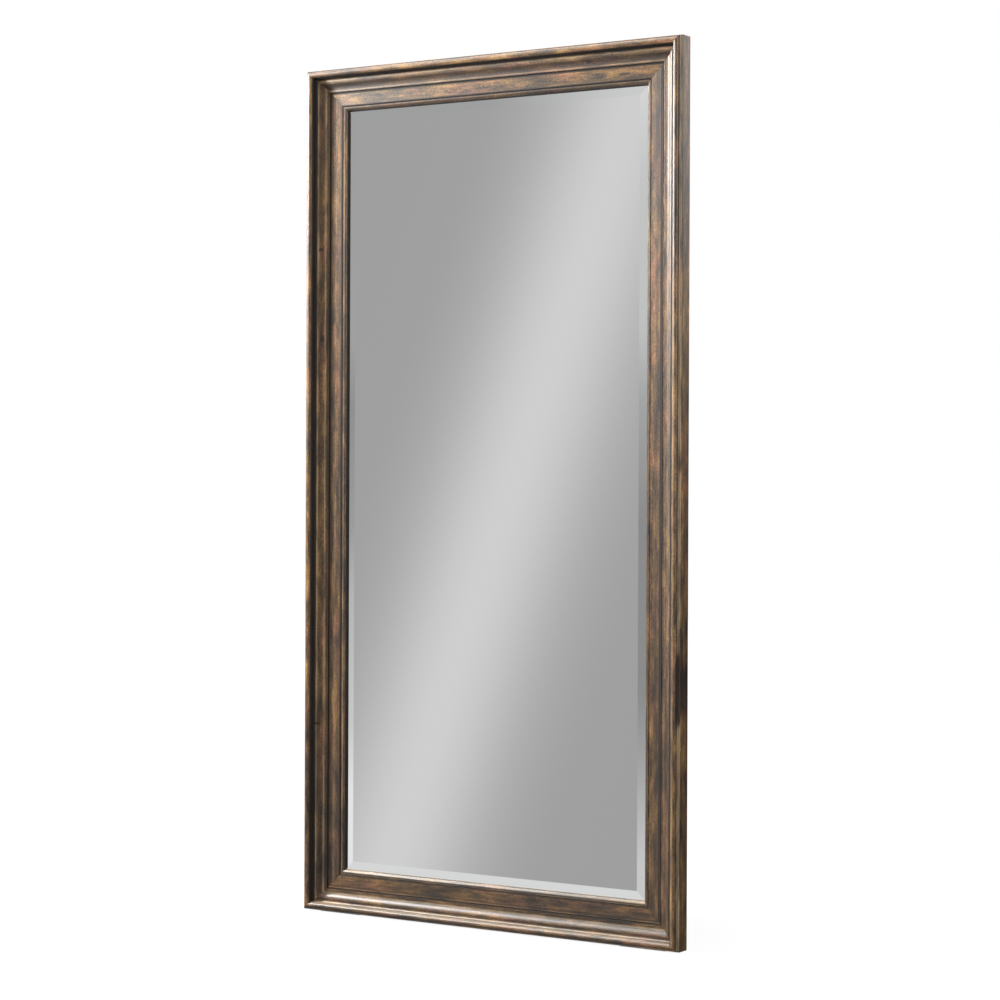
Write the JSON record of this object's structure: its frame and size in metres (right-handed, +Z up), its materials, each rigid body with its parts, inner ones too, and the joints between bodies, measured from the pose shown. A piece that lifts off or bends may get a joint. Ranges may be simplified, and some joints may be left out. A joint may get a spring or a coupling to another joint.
{
  "type": "floor mirror",
  "caption": "Tall bevelled mirror in a mitred wood frame with bead, scotia, ogee and flat band; it leans on a wall or hangs from D rings.",
  "frame": {"origin": "on the floor, in the middle of the overall width and depth", "axes": "+X along the width, to the right of a person who looks into the mirror; +Y to the back, towards the wall; +Z up. The mirror faces -Y"},
  "size_m": [1.067, 0.0624, 2.108],
  "materials": {
    "frame_wood": "dark stained and distressed, satin lacquer",
    "moulding_wood": "dark stained, glazed in the quirks, semi-gloss lacquer",
    "tenon_wood": "bare beech",
    "mirror": "polished, silvered",
    "backing": "brown hardboard, smooth",
    "foam": "white foam sheet",
    "zinc_steel": "bright zinc plated",
    "rubber": "matt black"
  },
  "bodies": {
    "frame": {"backing_board": "backing", "backing_screws": "zinc_steel", "bottom_rail": "frame_wood", "bumper_screws": "zinc_steel", "corner_plate_bottom_left": "zinc_steel", "corner_plate_bottom_right": "zinc_steel", "corner_plate_screws": "zinc_steel", "corner_plate_top_left": "zinc_steel", "corner_plate_top_right": "zinc_steel", "edge_shims": "tenon_wood", "floor_foot_left": "rubber", "floor_foot_right": "rubber", "foam_sheet": "foam", "foot_screws": "zinc_steel", "hanger_screws": "zinc_steel", "hanger_strap_left": "zinc_steel", "hanger_strap_right": "zinc_steel", "left_stile": "frame_wood", "mirror_plate": "mirror", "mitre_tenons": "tenon_wood", "outer_moulding_bottom": "moulding_wood", "outer_moulding_left": "moulding_wood", "outer_moulding_right": "moulding_wood", "outer_moulding_top": "moulding_wood", "right_stile": "frame_wood", "setting_blocks": "rubber", "sight_bead_bottom": "moulding_wood", "sight_bead_left": "moulding_wood", "sight_bead_right": "moulding_wood", "sight_bead_top": "moulding_wood", "top_rail": "frame_wood", "wall_bumper_left": "rubber", "wall_bumper_right": "rubber"},
    "ring_left": {"hanger_ring_left": "zinc_steel"},
    "ring_right": {"hanger_ring_right": "zinc_steel"}
  },
  "joints": [
    {"name": "ring_left_swing", "type": "hinge", "parent": "frame", "child": "ring_left", "pos_m": [-0.4915, 0.0263, 1.7], "axis": [1, 0, 0], "range_deg": [0, 172]},
    {"name": "ring_right_swing", "type": "hinge", "parent": "frame", "child": "ring_right", "pos_m": [0.4915, 0.0263, 1.7], "axis": [1, 0, 0], "range_deg": [0, 172]}
  ]
}
